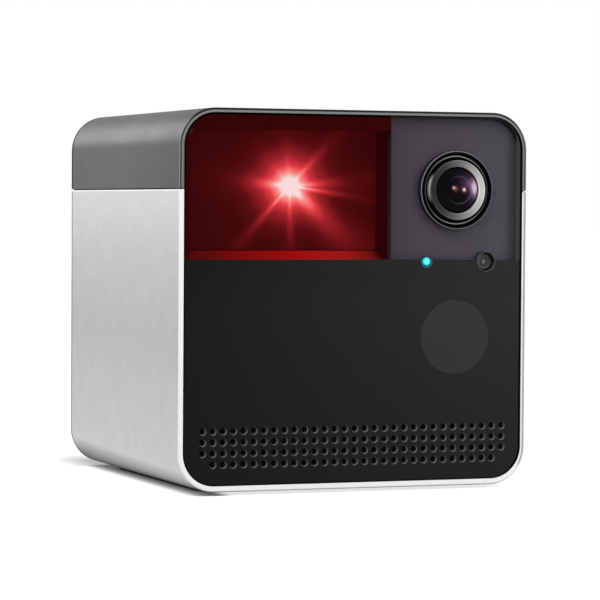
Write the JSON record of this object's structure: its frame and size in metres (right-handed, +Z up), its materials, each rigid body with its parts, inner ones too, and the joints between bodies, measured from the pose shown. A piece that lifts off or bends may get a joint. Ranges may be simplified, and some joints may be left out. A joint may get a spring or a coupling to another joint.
{
  "type": "interactive pet camera",
  "caption": "Cube-shaped pet camera with a steerable laser pointer, wide-angle lens and speaker behind one flat glossy front, in a two-part rounded housing.",
  "frame": {"origin": "on the ground, below the middle of the object's box", "axes": "+Z up, the front pane looks towards -Y, +X is to the right of someone who faces the front"},
  "size_m": [0.081, 0.082, 0.0828],
  "materials": {
    "shell_aluminium": "fine sandblasted, anodised silver",
    "cover_grey": "dark grey, satin, with a polished front edge",
    "panel_black": "piano black, glossy",
    "window_red": "dark red tinted, glossy",
    "window_smoke": "smoked, glossy",
    "plate_grey": "dark grey, satin",
    "moulded_black": "black, fine texture",
    "ring_metal": "dark anodised, brushed",
    "lens_glass": "coated lens glass, purple sheen",
    "foot_rubber": "matt black",
    "insert_brass": "turned",
    "chamber_red": "dark red, matt",
    "laser_emitter": "glowing red",
    "status_light": "lit cyan",
    "infrared_dark": "near-black infrared filter, glossy",
    "infrared_clear": "clear epoxy",
    "speaker_paper": "matt dark cloth and paper",
    "steel_bright": "bright plated",
    "gear_nylon": "white nylon",
    "board_green": "green solder mask",
    "chip_black": "moulded epoxy",
    "spreader_aluminium": "extruded, fine lines"
  },
  "bodies": {
    "root": {"lower_shell": "shell_aluminium", "top_cover": "cover_grey", "rear_cover": "moulded_black", "foot_pad": "foot_rubber", "tripod_insert": "insert_brass", "front_panel": "panel_black", "laser_window": "window_red", "camera_window": "window_smoke", "front_frame": "moulded_black", "camera_plate": "plate_grey", "lens_collar": "moulded_black", "lens_barrel": "moulded_black", "lens_retaining_ring": "ring_metal", "lens_dome": "lens_glass", "lens_inner_element": "lens_glass", "lens_holder": "moulded_black", "camera_board": "board_green", "image_sensor": "chip_black", "light_sensor": "moulded_black", "status_light_pipe": "status_light", "status_led": "status_light", "sensor_board": "board_green", "infrared_window": "infrared_dark", "infrared_led_1": "infrared_clear", "infrared_led_2": "infrared_clear", "microphone": "steel_bright", "speaker_mesh": "speaker_paper", "speaker_frame": "moulded_black", "speaker_cone": "speaker_paper", "speaker_magnet": "steel_bright", "laser_chamber": "chamber_red", "laser_filter": "chamber_red", "motor_plate": "moulded_black", "pan_bushing": "insert_brass", "pan_motor": "steel_bright", "main_board": "board_green", "processor": "chip_black", "heat_spreader": "spreader_aluminium", "radio_module": "steel_bright", "usb_socket": "steel_bright", "reset_switch": "chip_black", "cover_screw_1": "steel_bright", "cover_screw_2": "steel_bright", "cover_screw_3": "steel_bright", "cover_screw_4": "steel_bright", "board_screw_1": "steel_bright", "board_screw_2": "steel_bright", "board_screw_3": "steel_bright", "board_screw_4": "steel_bright"},
    "pan_head": {"pan_yoke": "moulded_black", "pan_shaft": "steel_bright", "pan_gear": "gear_nylon", "tilt_motor": "steel_bright"},
    "tilt_head": {"tilt_cradle": "moulded_black", "laser_module": "insert_brass", "laser_lens": "laser_emitter", "tilt_gear": "gear_nylon"},
    "pan_drive": {"pan_pinion": "gear_nylon"},
    "tilt_drive": {"tilt_pinion": "gear_nylon"},
    "button": {"reset_button": "moulded_black"}
  },
  "joints": [
    {"name": "laser_pan", "type": "hinge", "parent": "root", "child": "pan_head", "pos_m": [-0.012, -0.02102, 0.0663], "axis": [0, 0, 1], "range_deg": [-40, 40]},
    {"name": "laser_tilt", "type": "hinge", "parent": "pan_head", "child": "tilt_head", "pos_m": [-0.012, -0.02102, 0.0663], "axis": [1, 0, 0], "range_deg": [-20, 30]},
    {"name": "pan_pinion_spin", "type": "hinge", "parent": "root", "child": "pan_drive", "pos_m": [-0.012, -0.00836, 0.0463], "axis": [0, 0, 1], "range_deg": [-100, 100]},
    {"name": "tilt_pinion_spin", "type": "hinge", "parent": "pan_head", "child": "tilt_drive", "pos_m": [-0.012, -0.01801, 0.05802], "axis": [1, 0, 0], "range_deg": [-75, 50]},
    {"name": "reset_button_press", "type": "slide", "parent": "root", "child": "button", "axis": [0, -1, 0], "range_m": [0, 0.0006], "stiffness_N_per_m": 400}
  ],
  "couplings": [
    {"joint": "pan_pinion_spin", "follows": "laser_pan", "ratio": -2.5},
    {"joint": "tilt_pinion_spin", "follows": "laser_tilt", "ratio": -2.5}
  ]
}
